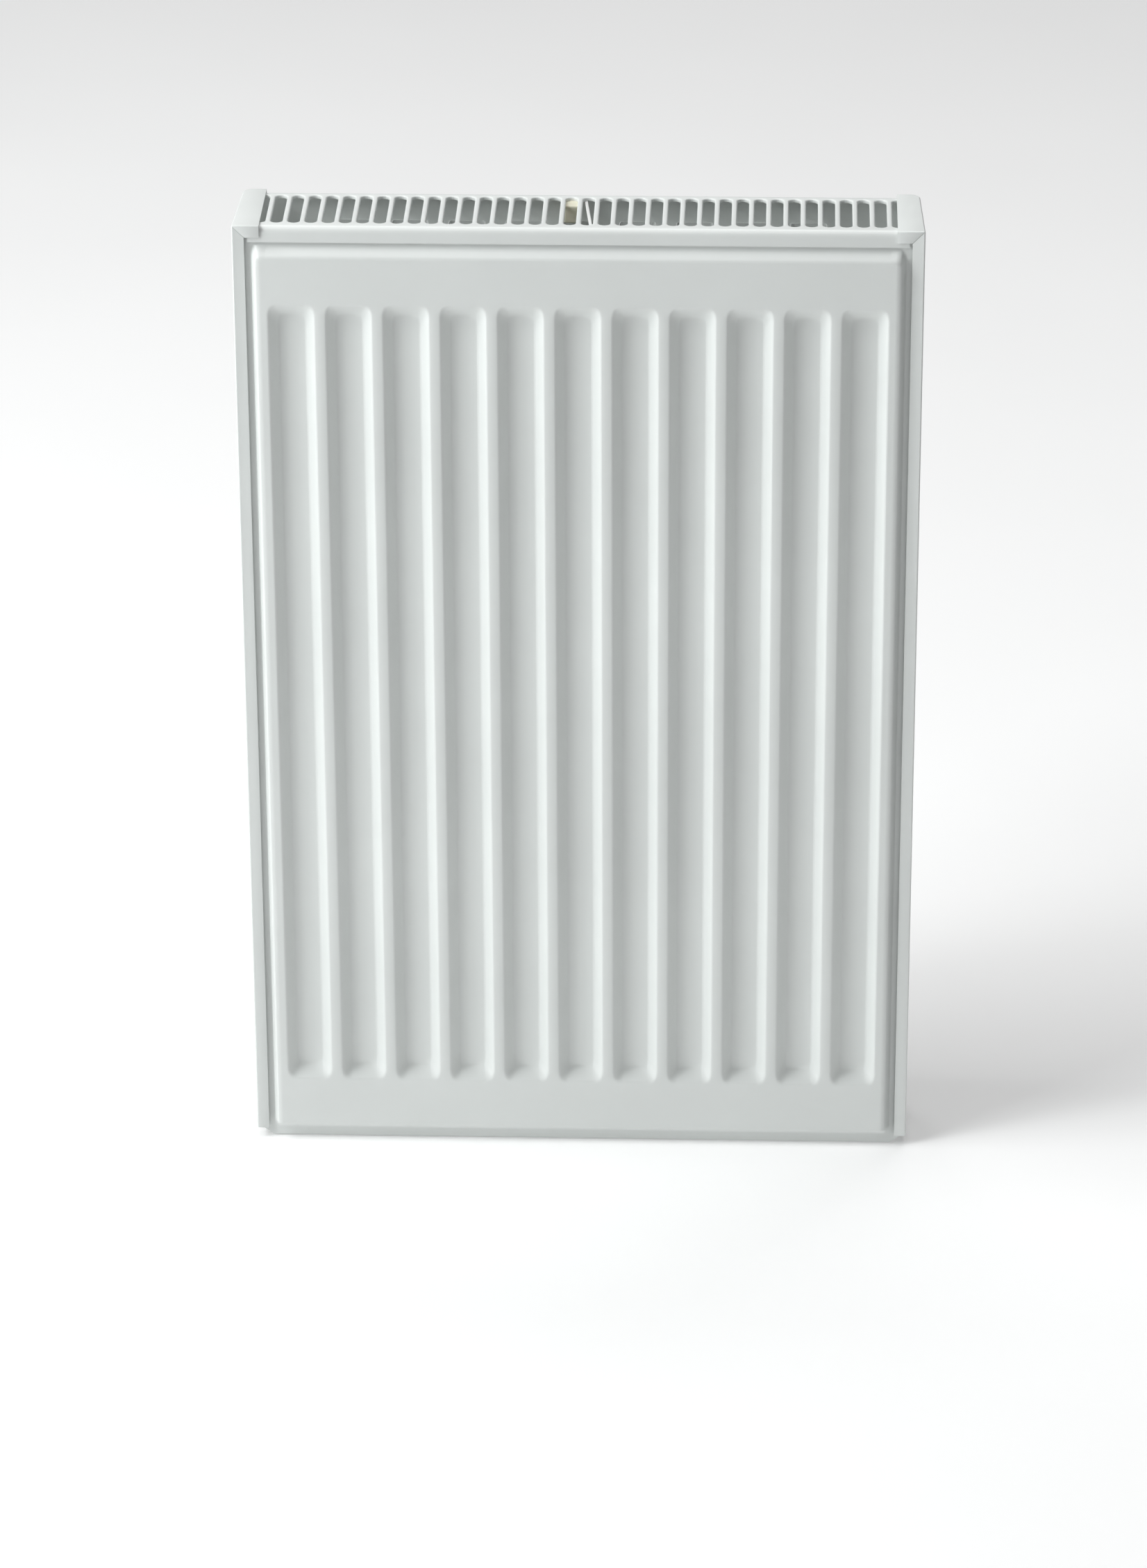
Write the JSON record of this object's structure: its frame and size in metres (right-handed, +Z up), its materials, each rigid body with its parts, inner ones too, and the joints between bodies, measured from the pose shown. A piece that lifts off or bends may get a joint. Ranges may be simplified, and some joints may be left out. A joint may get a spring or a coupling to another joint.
{
  "type": "panel radiator",
  "caption": "Single-panel steel radiator with pressed channels, convector, top grille and side covers, hung on two wall brackets.",
  "frame": {"origin": "centre of the four round screw holes of the two wall brackets, on the wall plane", "axes": "+Y into the wall, -Y towards the room, +Z up, +X to the right seen from the room"},
  "size_m": [0.401, 0.096, 0.6011],
  "materials": {
    "white_paint": "satin",
    "galvanised": "satin",
    "nickel": "polished",
    "seal_rubber": "matte",
    "white_plastic": "satin",
    "cream_plastic": "satin"
  },
  "bodies": {
    "wall_brackets": {"wall_bracket_left": "galvanised", "wall_bracket_right": "galvanised"},
    "radiator": {"front_sheet": "white_paint", "rear_sheet": "white_paint", "convector": "white_paint", "blank_plug": "nickel", "blank_plug_seal": "seal_rubber", "vent_body": "nickel", "vent_seal": "seal_rubber", "port_boss_lower_left": "white_paint", "port_boss_upper_left": "white_paint", "hanging_lug_lower_left": "white_paint", "hanging_lug_upper_left": "white_paint", "port_boss_lower_right": "white_paint", "port_boss_upper_right": "white_paint", "hanging_lug_lower_right": "white_paint", "hanging_lug_upper_right": "white_paint"},
    "grille": {"top_grille": "white_paint", "grille_clip_left": "galvanised", "grille_clip_right": "galvanised", "grille_retainer": "cream_plastic", "retainer_strap": "white_plastic"},
    "cover_left": {"side_cover_left": "white_paint"},
    "cover_right": {"side_cover_right": "white_paint"},
    "vent_outlet": {"vent_spout": "white_plastic"},
    "vent_needle": {"vent_screw": "nickel"}
  },
  "joints": [
    {"name": "radiator_lift", "type": "slide", "parent": "wall_brackets", "child": "radiator", "axis": [0, 0, 1], "range_m": [0, 0.014]},
    {"name": "grille_lift", "type": "slide", "parent": "radiator", "child": "grille", "axis": [0, 0, 1], "range_m": [0, 0.05]},
    {"name": "cover_left_pull", "type": "slide", "parent": "grille", "child": "cover_left", "axis": [-1, 0, 0], "range_m": [0, 0.03]},
    {"name": "cover_right_pull", "type": "slide", "parent": "grille", "child": "cover_right", "axis": [1, 0, 0], "range_m": [0, 0.03]},
    {"name": "vent_outlet_swivel", "type": "hinge", "parent": "radiator", "child": "vent_outlet", "pos_m": [-0.191, -0.067, 0.2545], "axis": [1, 0, 0], "continuous": true},
    {"name": "vent_needle_turn", "type": "hinge", "parent": "radiator", "child": "vent_needle", "pos_m": [-0.191, -0.067, 0.2545], "axis": [-1, 0, 0], "range_deg": [0, 360]}
  ]
}
